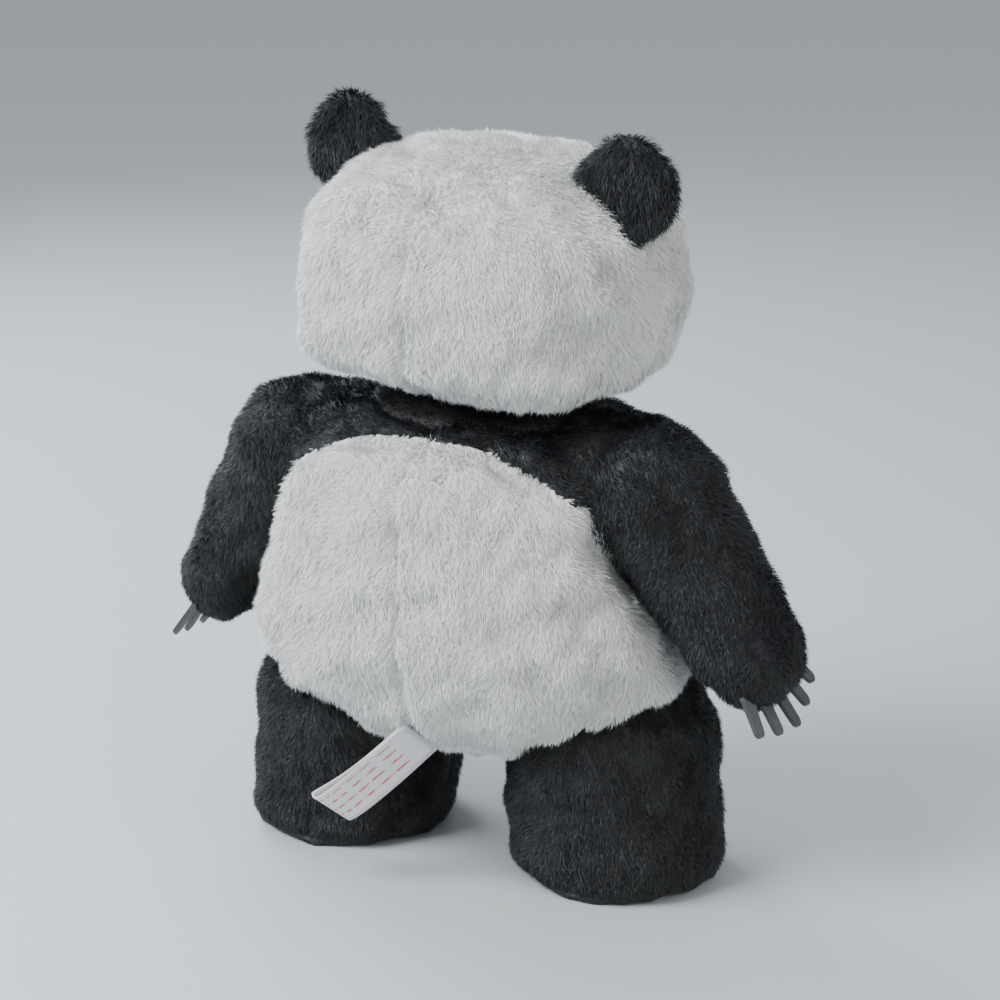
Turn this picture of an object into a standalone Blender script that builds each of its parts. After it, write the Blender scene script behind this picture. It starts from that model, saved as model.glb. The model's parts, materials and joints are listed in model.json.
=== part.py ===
"""Standing plush panda, built as its sewn panels, stuffing, eyes, claws and label.

Metres, +Z up. The panda faces -Y, so its own right side is at -X. The origin is on the
floor, midway between the soles. Every soft piece is the plain solid that it fills.
"""
import math

import bmesh
import bpy
from mathutils import Matrix, Vector

# ---- driving dimensions ----
CLOTH = 0.0024  # pile fabric, backing and pressed pile together
FIT = 0.0004  # gap between pieces that touch
SEAM = 0.0006  # gap between two panels along a seam
SWIVEL = 0.0010  # clearance round every ball that turns
ARMHOLE_EASE = 0.0040  # the armhole is cut wider than the ball
LOOSE = 0.0032  # gap between the body's skin and its stuffing

HEAD_HALF_WIDTH = 0.0715
HEAD_HALF_DEPTH = 0.062
HEAD_HALF_HEIGHT = 0.046
HEAD_BELOW_NECK = 0.0025  # the head's underside hangs this far past the pivot
HEAD_ABOVE_NECK = HEAD_HALF_HEIGHT - HEAD_BELOW_NECK
HEAD_FORWARD = 0.0005
HEAD_TURN = math.radians(-4.5)  # looks slightly to its right
HEAD_ROLL = math.radians(-3.5)  # and leans to the same side
HEAD_SQUARE = 2.35  # roundness seen from above: 2 is an ellipse
HEAD_CROWN = 2.3  # roundness of the upper half
HEAD_JOWL = 3.6  # the lower half is squarer
GUSSET_HALF_WIDTH = 0.021
EAR_SEAM_BACK = 0.010  # the side seam runs behind the ears
CHIN_DROP = 0.026  # below the head's middle, where the gusset ends

NECK_HEIGHT = 0.182
NECK_BALL_R = 0.027

TORSO_HALF_WIDTH = 0.088
TORSO_HALF_DEPTH = 0.069
TORSO_WAIST_Z = 0.108
TORSO_TOP_Z = 0.1765
TORSO_BOTTOM_Z = 0.0435
TORSO_BACK_SHIFT = 0.002
SHOULDER_SQUARE = 3.4
BACK_SQUARE = 4.0
SEAT_SQUARE = 2.2
OVAL_HALF_WIDTH = 0.0885  # pale oval on the back and on the belly
OVAL_HALF_HEIGHT = 0.105
OVAL_CENTRE_Z = 0.066
OVAL_OPENS_Z = 0.112  # below this the pale fabric runs round the sides
BAR_REACH = 0.2
PELLET_LEVEL_Z = 0.078

ARM_PIVOT = Vector((0.073, 0.013, 0.150))
ARM_BALL_R = 0.027
ARM_LENGTH = 0.087  # from the pivot to the finger end
ARM_SPLAY = math.radians(34.0)
ARM_FORWARD = math.radians(7.0)
ARM_HALF_THICK = 0.0190
ARM_HALF_DEPTH = 0.0240
WAD_INSET = 0.013  # the shoulder wad fills the ball beyond this
ARM_RELIEF = 0.0050  # how far the side of the body stays off the arm

SIDE_LEAN = math.radians(30.0)  # slope of the body's side below the shoulder
SIDE_TUCK = 1.8  # the steep sides need a deeper step between skin and filling
SIDE_FLAT_BEND = 72.0  # degrees from straight down, seen from the side, that stay clear
SIDE_SWELL = 0.0007  # metres per degree that the side fills out beyond that

CLAWS_PER_HAND = 5
CLAW_WIDTH = 0.0072
CLAW_THICK = 0.0016
CLAW_REACH = 0.0125  # beyond the fingers
CLAW_ROOT = 0.016
CLAW_SPREAD = math.radians(24.0)
CLAW_PITCH = 0.0078

HIP_PIVOT = Vector((0.054, 0.003, 0.050))
LEG_R = 0.040
SOLE_R = 0.0395
SOLE_CENTRE_X = 0.058
SOLE_THICK = 0.0022
INSOLE_THICK = 0.0018
SOLE_ROUNDING = 0.0025

EAR_BASE_OUT = 0.0560
EAR_BASE_UP = 0.0342
EAR_BACK = 0.009
EAR_TILT = math.radians(46.0)  # from upright
EAR_HALF_CHORD = 0.0195
EAR_HALF_THICK = 0.0060
EAR_HALF_HEIGHT = 0.0175
EAR_RISE = 0.0050  # from the fold line to the widest place
EAR_ROOT = 0.0004

MUZZLE_HALF = Vector((0.027, 0.020, 0.020))
MUZZLE_DROP = 0.014
MUZZLE_OUT = 0.0500
NOSE_HALF = Vector((0.0095, 0.0050, 0.0065))
PATCH_HALF_WIDTH = 0.0125
PATCH_HALF_HEIGHT = 0.0175
PATCH_SLANT = math.radians(28.0)
PATCH_THICK = 0.0012
EYE_OUT = 0.029
EYE_UP = 0.008
EYE_R = 0.0052
SHANK_R = 0.0016
SHANK_LENGTH = 0.0105
WASHER_R = 0.0065
WASHER_THICK = 0.0012
WASHER_SINK = 0.0026  # below the cloth, which curves under it
MOUTH_THREAD_R = 0.0005

LABEL_LENGTH = 0.047
LABEL_WIDTH = 0.020
LABEL_THICK = 0.0005
LABEL_LOOP = 0.0042  # how far the fold stands open
LABEL_ROOT_GAP = 0.0008  # half the thickness of both leaves where they are sewn
LABEL_ROOT_Z = 0.058
LABEL_DIRECTION = Vector((0.034, 0.011, -0.030)).normalized()
LABEL_SEAM_LEAN = math.radians(32.0)  # slope of the back seam where the label is sewn
LABEL_OFF_BODY = 0.0020

ROUND_STEPS = 24
LIMB_STEPS = 14


# ---- materials ----
def finish(name, colour, roughness, metallic=0.0):
    made = bpy.data.materials.new(name)
    made.use_nodes = True
    shader = made.node_tree.nodes["Principled BSDF"]
    shader.inputs["Base Color"].default_value = (*colour, 1.0)
    shader.inputs["Roughness"].default_value = roughness
    shader.inputs["Metallic"].default_value = metallic
    return made


# ---- mesh helpers ----
def place(name, mesh_data, look, holder):
    """Wrap a bmesh as an object that hangs from its holder, smooth but for real edges."""
    mesh = bpy.data.meshes.new(name)
    mesh_data.to_mesh(mesh)
    mesh_data.free()
    if look is not None:
        mesh.materials.append(look)
    mesh.shade_smooth()
    mesh.set_sharp_from_angle(angle=math.radians(40))
    made = bpy.data.objects.new(name, mesh)
    bpy.context.scene.collection.objects.link(made)
    made.parent = holder
    return made


def hidden(cutter):
    cutter.hide_render = True
    cutter.display_type = "WIRE"
    return cutter


def carve(piece, cutter, operation="DIFFERENCE", solver="EXACT"):
    step = piece.modifiers.new(cutter.name, "BOOLEAN")
    step.operation = operation
    step.solver = solver
    step.object = cutter
    return piece


def ring_solid(rings, low_end, high_end):
    """Close a stack of rings, low to high, with a point at each end."""
    data = bmesh.new()
    rows = [[data.verts.new(point) for point in ring] for ring in rings]
    bottom = data.verts.new(low_end)
    top = data.verts.new(high_end)
    count = len(rows[0])
    for i in range(count):
        j = (i + 1) % count
        data.faces.new((bottom, rows[0][j], rows[0][i]))
        data.faces.new((top, rows[-1][i], rows[-1][j]))
        for lower, upper in zip(rows, rows[1:]):
            data.faces.new((lower[i], lower[j], upper[j], upper[i]))
    bmesh.ops.recalc_face_normals(data, faces=data.faces[:])
    return data


def hollow(outer, inner):
    """A skin between two closed surfaces; cutters open it later."""
    bmesh.ops.reverse_faces(inner, faces=inner.faces[:])
    lining = bpy.data.meshes.new("lining")
    inner.to_mesh(lining)
    inner.free()
    outer.from_mesh(lining)
    bpy.data.meshes.remove(lining)
    return outer


def ball(centre, radius, steps=ROUND_STEPS):
    data = bmesh.new()
    bmesh.ops.create_uvsphere(data, u_segments=steps, v_segments=steps // 2, radius=radius)
    bmesh.ops.translate(data, verts=data.verts[:], vec=centre)
    return data


def block(low, high):
    data = bmesh.new()
    bmesh.ops.create_cube(data, size=1.0)
    low = Vector(low)
    high = Vector(high)
    size = high - low
    bmesh.ops.scale(data, verts=data.verts[:], vec=size)
    bmesh.ops.translate(data, verts=data.verts[:], vec=(low + high) / 2)
    return data


def ovoid(centre, half_sizes, turn=None, steps=16):
    data = bmesh.new()
    bmesh.ops.create_uvsphere(data, u_segments=steps, v_segments=steps // 2, radius=1.0)
    bmesh.ops.scale(data, verts=data.verts[:], vec=half_sizes)
    if turn is not None:
        bmesh.ops.rotate(data, verts=data.verts[:], cent=(0, 0, 0), matrix=turn)
    bmesh.ops.translate(data, verts=data.verts[:], vec=centre)
    return data


def half_space(normal, point, reach=0.4):
    """A big block that fills the side its normal points to."""
    data = block((-reach, -reach, 0), (reach, reach, reach))
    turn = Vector((0, 0, 1)).rotation_difference(normal).to_matrix()
    bmesh.ops.rotate(data, verts=data.verts[:], cent=(0, 0, 0), matrix=turn)
    bmesh.ops.translate(data, verts=data.verts[:], vec=point)
    return data


def rod(start, end, radius, steps=16):
    axis = Vector(end) - Vector(start)
    data = bmesh.new()
    bmesh.ops.create_cone(
        data, cap_ends=True, segments=steps, radius1=radius, radius2=radius, depth=axis.length
    )
    turn = Vector((0, 0, 1)).rotation_difference(axis).to_matrix()
    bmesh.ops.rotate(data, verts=data.verts[:], cent=(0, 0, 0), matrix=turn)
    bmesh.ops.translate(data, verts=data.verts[:], vec=(Vector(start) + Vector(end)) / 2)
    return data


def shifted(data, offset):
    bmesh.ops.translate(data, verts=data.verts[:], vec=offset)
    return data


def bulge(share, squareness):
    """Half-width of a rounded form at a share of its height, 0 at the middle, 1 at the end."""
    return (1.0 - share**squareness) ** (1.0 / squareness)


# ---- head, in its own frame: the origin is the neck pivot ----
HEAD_MIDDLE = Vector((0, -HEAD_FORWARD, HEAD_ABOVE_NECK))


def head_reach(direction, inset=0.0):
    """Distance from the head's middle to its surface, along a unit direction."""
    across = abs(direction.x) / (HEAD_HALF_WIDTH - inset)
    along = abs(direction.y) / (HEAD_HALF_DEPTH - inset)
    up = abs(direction.z) / (HEAD_HALF_HEIGHT - inset)
    plan = (across**HEAD_SQUARE + along**HEAD_SQUARE) ** (1.0 / HEAD_SQUARE)
    power = HEAD_CROWN if direction.z > 0 else HEAD_JOWL
    return (plan**power + up**power) ** (-1.0 / power)


def head_form(inset=0.0, steps=ROUND_STEPS):
    rings = []
    rows = steps // 2
    for row in range(1, rows):
        rise = math.pi * row / rows - math.pi / 2
        ring = []
        for step in range(steps):
            turn = 2 * math.pi * step / steps
            direction = Vector(
                (math.cos(rise) * math.cos(turn), math.cos(rise) * math.sin(turn), math.sin(rise))
            )
            ring.append(HEAD_MIDDLE + direction * head_reach(direction, inset))
        rings.append(ring)
    up = Vector((0, 0, 1))
    low = HEAD_MIDDLE - up * head_reach(-up, inset)
    high = HEAD_MIDDLE + up * head_reach(up, inset)
    return ring_solid(rings, low, high)


def face_point(across, up, inset=0.0):
    """A point of the face, by its place across and above the head's middle."""
    shallow, deep = 0.0, HEAD_HALF_DEPTH
    for _ in range(40):
        middle = (shallow + deep) / 2
        place_try = Vector((across, -middle, up))
        if place_try.length < head_reach(place_try.normalized(), inset):
            shallow = middle
        else:
            deep = middle
    return HEAD_MIDDLE + Vector((across, -shallow, up))


def face_normal(across, up):
    step = 0.002
    side = face_point(across + step, up) - face_point(across - step, up)
    rise = face_point(across, up + step) - face_point(across, up - step)
    return side.cross(rise).normalized()


# ---- torso ----
def torso_ring(level, inset, power_side, power_depth, height, steps):
    """One ring of the body; level runs from -1 at the seat to 1 at the neck."""
    share = abs(level)
    half_width = (TORSO_HALF_WIDTH - inset) * bulge(share, power_side)
    half_depth = (TORSO_HALF_DEPTH - inset) * bulge(share, power_depth)
    ring = []
    z = TORSO_WAIST_Z + level * (height - inset)
    for step in range(steps):
        turn = 2 * math.pi * step / steps
        x = half_width * math.cos(turn)
        y = TORSO_BACK_SHIFT + half_depth * math.sin(turn)
        limit = side_limit(y, z) - inset * SIDE_TUCK
        if abs(x) > limit:
            x = math.copysign(limit, x)
        ring.append(Vector((x, y, z)))
    return ring


def side_limit(y, z):
    """How far out the side of the body may come, so that a swinging arm clears it."""
    back = y - ARM_PIVOT.y
    down = ARM_PIVOT.z - z
    reach = math.hypot(back, down)
    bend = math.degrees(math.atan2(abs(back), down))
    slack = max(0.0, bend - SIDE_FLAT_BEND) * SIDE_SWELL
    inner_face = ARM_PIVOT.x + reach * math.tan(SIDE_LEAN) - ARM_HALF_THICK / math.cos(SIDE_LEAN)
    return inner_face - ARM_RELIEF + slack


def torso_form(inset=0.0, steps=ROUND_STEPS, rows=8):
    rings = []
    for row in range(-rows + 1, rows):
        level = math.sin(math.pi / 2 * row / rows)
        if row < 0:
            height = TORSO_WAIST_Z - TORSO_BOTTOM_Z
            rings.append(torso_ring(level, inset, SEAT_SQUARE, SEAT_SQUARE, height, steps))
        else:
            height = TORSO_TOP_Z - TORSO_WAIST_Z
            rings.append(torso_ring(level, inset, SHOULDER_SQUARE, BACK_SQUARE, height, steps))
    low = Vector((0, TORSO_BACK_SHIFT, TORSO_BOTTOM_Z + inset))
    high = Vector((0, TORSO_BACK_SHIFT, TORSO_TOP_Z - inset))
    return ring_solid(rings, low, high)


def oval_block(grow):
    """The pale oval as a bar through the body; below the arms it takes in the whole body."""
    width = OVAL_HALF_WIDTH + grow
    height = OVAL_HALF_HEIGHT + grow
    start = math.asin((OVAL_OPENS_Z - OVAL_CENTRE_Z) / height)
    outline = [(-BAR_REACH, -BAR_REACH), (BAR_REACH, -BAR_REACH), (BAR_REACH, OVAL_OPENS_Z + grow)]
    steps = 30
    for step in range(steps + 1):
        turn = start + (math.pi - 2 * start) * step / steps
        outline.append((width * math.cos(turn), OVAL_CENTRE_Z + height * math.sin(turn) + grow))
    outline.append((-BAR_REACH, OVAL_OPENS_Z + grow))
    data = bmesh.new()
    face = data.faces.new([data.verts.new((x, -BAR_REACH, z)) for x, z in outline])
    grown = bmesh.ops.extrude_face_region(data, geom=[face])
    moved = [item for item in grown["geom"] if isinstance(item, bmesh.types.BMVert)]
    bmesh.ops.translate(data, verts=moved, vec=(0, 2 * BAR_REACH, 0))
    bmesh.ops.recalc_face_normals(data, faces=data.faces[:])
    return data


# ---- arm, in its own frame: the origin is the shoulder pivot, side is 1 or -1 ----
def arm_axis(side):
    hanging = Vector((side * math.sin(ARM_SPLAY), 0, -math.cos(ARM_SPLAY)))
    return Matrix.Rotation(-ARM_FORWARD, 3, "X") @ hanging


def arm_outward(side):
    hanging = Vector((side * math.cos(ARM_SPLAY), 0, math.sin(ARM_SPLAY)))
    return Matrix.Rotation(-ARM_FORWARD, 3, "X") @ hanging


def arm_backward():
    return Matrix.Rotation(-ARM_FORWARD, 3, "X") @ Vector((0, 1, 0))


def arm_form(side, inset=0.0, steps=LIMB_STEPS):
    axis = arm_axis(side)
    outward = arm_outward(side)
    depthward = arm_backward()
    ball_r = ARM_BALL_R - inset
    finger = ARM_LENGTH - inset
    thick = ARM_HALF_THICK - inset
    deep = ARM_HALF_DEPTH - inset
    rings = []
    for row in range(1, 5):
        along = -ball_r * math.cos(math.pi / 2 * row / 4)
        across = math.sqrt(ball_r**2 - along**2)
        rings.append((along, across, across))
    for share in (0.25, 0.5, 1.0):
        along = ball_r * share
        across = math.sqrt(ball_r**2 - along**2)
        rings.append((along, max(thick, across), max(deep, across)))
    palm = finger - thick * 1.1
    rings.append(((ball_r + palm) / 2, thick, deep))
    for row in range(0, 4):
        share = math.sin(math.pi / 2 * row / 4)
        round_off = bulge(share, 2.3)
        rings.append((palm + (finger - palm) * share, thick * round_off, deep * round_off))
    stack = []
    for along, half_thick, half_deep in rings:
        ring = []
        for step in range(steps):
            turn = 2 * math.pi * (step + 0.5) / steps
            spot = outward * half_thick * math.cos(turn) + depthward * half_deep * math.sin(turn)
            ring.append(axis * along + spot)
        stack.append(ring)
    return ring_solid(stack, axis * -ball_r, axis * finger)


def claw_form(side, index):
    """A flat tapered tongue; its root is shaped by the hand afterwards."""
    middle = (CLAWS_PER_HAND - 1) / 2
    place_in_row = (index - middle) / middle
    axis = arm_axis(side)
    fan = Matrix.Rotation(side * CLAW_SPREAD * place_in_row, 3, arm_outward(side))
    along = fan @ axis
    across = along.cross(arm_outward(side)).normalized()
    flat = across.cross(along)
    reach = CLAW_REACH - 0.0035 * abs(place_in_row)
    root = axis * (ARM_LENGTH - CLAW_ROOT) + arm_backward() * CLAW_PITCH * (index - middle)
    length = CLAW_ROOT + reach - 0.002 * place_in_row**2
    outline = [(-0.5, 0.0), (0.5, 0.0)]
    for step in range(6):
        turn = math.pi * step / 5
        outline.append((0.34 * math.cos(turn), 1.0 - 0.10 * (1 - math.sin(turn))))
    data = bmesh.new()
    low = [
        data.verts.new(root + across * u * CLAW_WIDTH + along * v * length - flat * CLAW_THICK / 2)
        for u, v in outline
    ]
    face = data.faces.new(low)
    grown = bmesh.ops.extrude_face_region(data, geom=[face])
    moved = [item for item in grown["geom"] if isinstance(item, bmesh.types.BMVert)]
    bmesh.ops.translate(data, verts=moved, vec=flat * CLAW_THICK)
    bmesh.ops.recalc_face_normals(data, faces=data.faces[:])
    return data


# ---- leg, in its own frame: the origin is the hip pivot ----
def leg_form(side, inset=0.0, floor_up=0.0, steps=20):
    """A column with a ball for its top; floor_up lifts its flat end off the floor."""
    ball_r = LEG_R - inset
    start = -HIP_PIVOT.z + floor_up
    lean = side * (SOLE_CENTRE_X - HIP_PIVOT.x) / HIP_PIVOT.z
    levels = [(start, SOLE_R - inset - SOLE_ROUNDING)]
    for row in range(1, 4):
        turn = math.pi / 2 * row / 3
        rise = SOLE_ROUNDING * (1 - math.cos(turn))
        width = SOLE_R - inset - SOLE_ROUNDING * (1 - math.sin(turn))
        levels.append((start + rise, width))
    levels.append((start * 0.5, (SOLE_R + LEG_R) / 2 - inset))
    for row in range(0, 5):
        turn = math.pi / 2 * row / 5
        levels.append((ball_r * math.sin(turn), ball_r * math.cos(turn)))
    stack = []
    for z, radius in levels:
        shift = -z * lean if z < 0 else 0.0
        ring = []
        for step in range(steps):
            turn = 2 * math.pi * (step + 0.5) / steps
            ring.append(Vector((shift + radius * math.cos(turn), radius * math.sin(turn), z)))
        stack.append(ring)
    low = Vector((-start * lean, 0, start))
    return ring_solid(stack, low, Vector((0, 0, ball_r)))


# ---- the assembly ----
def empty(name, where, holder=None, turn=None):
    made = bpy.data.objects.new(name, None)
    bpy.context.scene.collection.objects.link(made)
    made.location = where
    made.parent = holder
    if turn is not None:
        made.rotation_euler = turn
    return made


def build_torso(looks, centre):
    front_back = {"back": 1, "front": -1}
    neck = hidden(place("cut_neck", ball((0, 0, NECK_HEIGHT), NECK_BALL_R + SWIVEL, 20), None, centre))
    sockets = [neck]
    for word, side in (("left", 1), ("right", -1)):
        arm_at = Vector((side * ARM_PIVOT.x, ARM_PIVOT.y, ARM_PIVOT.z))
        hip_at = Vector((side * HIP_PIVOT.x, HIP_PIVOT.y, HIP_PIVOT.z))
        arm_ball = ball(arm_at, ARM_BALL_R + ARMHOLE_EASE, 20)
        sockets.append(hidden(place("cut_armhole_" + word, arm_ball, None, centre)))
        hip_ball = ball(hip_at, LEG_R + SWIVEL, 24)
        sockets.append(hidden(place("cut_hip_" + word, hip_ball, None, centre)))
    pale = hidden(place("cut_oval_pale", oval_block(-SEAM / 2), None, centre))
    dark = hidden(place("cut_oval_dark", oval_block(SEAM / 2), None, centre))

    halves = {}
    for word, sign in front_back.items():
        plane = (0, TORSO_BACK_SHIFT + sign * SEAM / 2, 0)
        data = half_space(Vector((0, sign, 0)), plane)
        halves[word] = hidden(place("cut_half_" + word, data, None, centre))
    sides = {}
    for word, side in (("left", 1), ("right", -1)):
        data = half_space(Vector((side, 0, 0)), (side * SEAM / 2, 0, 0))
        sides[word] = hidden(place("cut_side_" + word, data, None, centre))

    def skin(name, look, *cuts):
        panel = place(name, hollow(torso_form(), torso_form(CLOTH)), look, centre)
        for cutter, operation in cuts:
            carve(panel, cutter, operation, "MANIFOLD")
        for socket in sockets:
            carve(panel, socket, "DIFFERENCE", "MANIFOLD")
        return panel

    keep = "INTERSECT"
    skin("yoke_back", looks["black"], (halves["back"], keep), (dark, "DIFFERENCE"))
    skin("yoke_front", looks["black"], (halves["front"], keep), (dark, "DIFFERENCE"))
    skin("back_left", looks["white"], (halves["back"], keep), (pale, keep), (sides["left"], keep))
    skin("back_right", looks["white"], (halves["back"], keep), (pale, keep), (sides["right"], keep))
    skin("belly_panel", looks["white"], (halves["front"], keep), (pale, keep))

    level = (0, 0, PELLET_LEVEL_Z)
    above = hidden(place("cut_above_bag", half_space(Vector((0, 0, 1)), level), None, centre))
    level = (0, 0, PELLET_LEVEL_Z - SEAM)
    below = hidden(place("cut_below_fill", half_space(Vector((0, 0, -1)), level), None, centre))
    for name, look, cutter in (
        ("body_stuffing", looks["stuffing"], above),
        ("pellet_bag", looks["bag"], below),
    ):
        fill = place(name, torso_form(CLOTH + LOOSE), look, centre)
        carve(fill, cutter, keep)
        for socket in sockets:
            carve(fill, socket)
    place("neck_wad", ball((0, 0, 0), NECK_BALL_R, 16), looks["stuffing"], empty_neck(centre))


def empty_neck(centre):
    return empty("neck_axis", (0, 0, NECK_HEIGHT), centre)


def build_label(looks, centre):
    """A folded loop of ribbon: both ends in the back seam, the fold hanging free."""
    share = (TORSO_WAIST_Z - LABEL_ROOT_Z) / (TORSO_WAIST_Z - TORSO_BOTTOM_Z)
    surface_y = TORSO_BACK_SHIFT + TORSO_HALF_DEPTH * bulge(share, SEAT_SQUARE)
    root = Vector((0, surface_y + LABEL_OFF_BODY, LABEL_ROOT_Z))
    along = LABEL_DIRECTION
    seam_line = Vector((0, math.sin(LABEL_SEAM_LEAN), math.cos(LABEL_SEAM_LEAN)))
    across = (seam_line - along * seam_line.dot(along)).normalized()
    out = across.cross(along).normalized()
    holder = empty("label_pivot", root, centre)

    def strip(half_gap):
        """Side view of the ribbon: out along one leaf, round the fold and back."""
        straight = LABEL_LENGTH - LABEL_LOOP / 2
        root_gap = half_gap - LABEL_LOOP / 2 + LABEL_ROOT_GAP
        leaf = []
        for step in range(7):
            share = step / 6
            leaf.append((straight * share, root_gap + (half_gap - root_gap) * share * share))
        fold = []
        for step in range(1, 8):
            turn = math.pi / 2 - math.pi * step / 8
            fold.append((straight + half_gap * math.cos(turn), half_gap * math.sin(turn)))
        return leaf + fold + [(u, -v) for u, v in reversed(leaf)]

    outer = strip(LABEL_LOOP / 2)
    inner = strip(LABEL_LOOP / 2 - LABEL_THICK)
    data = bmesh.new()
    loops = []
    for edge in (-LABEL_WIDTH / 2, LABEL_WIDTH / 2):
        for line in (outer, inner):
            loops.append([data.verts.new(along * u + out * v + across * edge) for u, v in line])
    near_outer, near_inner, far_outer, far_inner = loops
    last = len(outer) - 1
    for i in range(last):
        j = i + 1
        data.faces.new((near_outer[i], near_outer[j], far_outer[j], far_outer[i]))
        data.faces.new((near_inner[j], near_inner[i], far_inner[i], far_inner[j]))
        data.faces.new((near_outer[j], near_outer[i], near_inner[i], near_inner[j]))
        data.faces.new((far_outer[i], far_outer[j], far_inner[j], far_inner[i]))
    for i in (0, last):
        data.faces.new((near_outer[i], far_outer[i], far_inner[i], near_inner[i]))
    bmesh.ops.recalc_face_normals(data, faces=data.faces[:])
    place("label_loop", data, looks["ribbon"], holder)


def build_head(looks, centre):
    holder = empty("head_pivot", (0, 0, NECK_HEIGHT), centre, (0, HEAD_ROLL, HEAD_TURN))
    keep = "INTERSECT"
    neck = hidden(place("cut_head_neck", ball((0, 0, 0), NECK_BALL_R + SWIVEL, 20), None, holder))

    def cutter(name, data):
        return hidden(place("cut_" + name, data, None, holder))

    seam_y = EAR_SEAM_BACK
    rear = cutter("rear", half_space(Vector((0, 1, 0)), (0, seam_y + SEAM / 2, 0)))
    fore = cutter("fore", half_space(Vector((0, -1, 0)), (0, seam_y - SEAM / 2, 0)))
    left = cutter("head_left", half_space(Vector((1, 0, 0)), (SEAM / 2, 0, 0)))
    right = cutter("head_right", half_space(Vector((-1, 0, 0)), (-SEAM / 2, 0, 0)))
    strip_edge = GUSSET_HALF_WIDTH
    cheek_left = cutter("cheek_left", half_space(Vector((1, 0, 0)), (strip_edge + SEAM / 2, 0, 0)))
    far_edge = -strip_edge - SEAM / 2
    cheek_right = cutter("cheek_right", half_space(Vector((-1, 0, 0)), (far_edge, 0, 0)))
    inner_edge = strip_edge - SEAM / 2
    chin_z = HEAD_MIDDLE.z - CHIN_DROP
    low_z, high_z = HEAD_MIDDLE.z - 0.2, HEAD_MIDDLE.z + 0.2
    strip_block = block((-inner_edge, -0.2, chin_z + SEAM / 2), (inner_edge, seam_y - SEAM / 2, high_z))
    chin_block = block((-inner_edge, -0.2, low_z), (inner_edge, seam_y - SEAM / 2, chin_z - SEAM / 2))
    gusset = cutter("gusset", strip_block)
    chin = cutter("chin", chin_block)

    shanks = {}
    for word, side in (("left", 1), ("right", -1)):
        spot = face_point(side * EYE_OUT, EYE_UP)
        normal = face_normal(side * EYE_OUT, EYE_UP)
        inward_end = spot - normal * (SHANK_LENGTH + FIT)
        hole = rod(spot + normal * 0.01, inward_end, SHANK_R + FIT, 12)
        shanks[word] = (cutter("shank_" + word, hole), spot, normal)

    def skin(name, look, *cuts):
        panel = place(name, hollow(head_form(), head_form(CLOTH)), look, holder)
        for tool in cuts:
            carve(panel, tool, keep)
        carve(panel, neck)
        return panel

    skin("head_back_left", looks["white"], rear, left)
    skin("head_back_right", looks["white"], rear, right)
    carve(skin("face_left", looks["white"], fore, cheek_left), shanks["left"][0])
    carve(skin("face_right", looks["white"], fore, cheek_right), shanks["right"][0])
    skin("forehead_gusset", looks["white"], gusset)
    skin("chin_panel", looks["white"], chin)

    fill = place("head_stuffing", head_form(CLOTH + FIT), looks["stuffing"], holder)
    carve(fill, neck)

    muzzle_at = HEAD_MIDDLE + Vector((0, -MUZZLE_OUT, -MUZZLE_DROP))
    around = cutter("around_head", head_form(-PATCH_THICK - 3 * FIT, 36))
    muzzle = place("muzzle", ovoid(muzzle_at, MUZZLE_HALF, steps=20), looks["white"], holder)
    carve(muzzle, around)
    nose_at = muzzle_at + Vector((0, -MUZZLE_HALF.y * 0.93, MUZZLE_HALF.z * 0.42))
    off_muzzle = cutter(
        "around_muzzle", ovoid(muzzle_at, MUZZLE_HALF + Vector((FIT, FIT, FIT)), steps=20)
    )
    nose = place("nose", ovoid(nose_at, NOSE_HALF, steps=12), looks["nose"], holder)
    carve(nose, off_muzzle)
    build_mouth(looks, holder, muzzle_at)

    for word, side in (("left", 1), ("right", -1)):
        tool, spot, normal = shanks[word]
        build_eye(looks, holder, word, side, tool, spot, normal, fill)
        build_ear(looks, holder, word, side)


def build_eye(looks, holder, word, side, hole, spot, normal, fill):
    """Patch, eye with its shank, and the locking washer inside."""
    patch_data = hollow(head_form(-FIT - PATCH_THICK, 36), head_form(-FIT, 36))
    patch = place("eye_patch_" + word, patch_data, looks["black"], holder)
    slant = Matrix.Rotation(side * PATCH_SLANT, 3, "Y")
    centre = spot + Vector((side * 0.002, 0, -0.004))
    shape = ovoid(centre, (PATCH_HALF_WIDTH, 0.022, PATCH_HALF_HEIGHT), slant)
    cookie = hidden(place("cut_patch_" + word, shape, None, holder))
    carve(patch, cookie, "INTERSECT")
    carve(patch, hole)

    seat = FIT * 2 + PATCH_THICK
    profile = [(0.0, seat + EYE_R * 0.75)]
    for step in range(1, 6):
        turn = math.pi / 2 * step / 5
        profile.append((EYE_R * math.sin(turn), seat + EYE_R * 0.75 * math.cos(turn)))
    profile.append((SHANK_R, seat))
    profile.append((SHANK_R, -SHANK_LENGTH))
    profile.append((0.0, -SHANK_LENGTH))
    place("eye_" + word, turned(profile, spot, normal), looks["eye"], holder)

    top = -CLOTH - WASHER_SINK
    ring_in = SHANK_R + FIT
    ring = [(ring_in, top), (WASHER_R, top), (WASHER_R, top - WASHER_THICK), (ring_in, top - WASHER_THICK)]
    washer = turned(ring, spot, normal, closed=True)
    place("eye_washer_" + word, washer, looks["washer"], holder)

    deepest = spot - normal * (SHANK_LENGTH + FIT * 2)
    pocket = rod(spot + normal * 0.004, deepest, WASHER_R + FIT, 20)
    carve(fill, hidden(place("cut_pocket_" + word, pocket, None, holder)))


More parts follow.
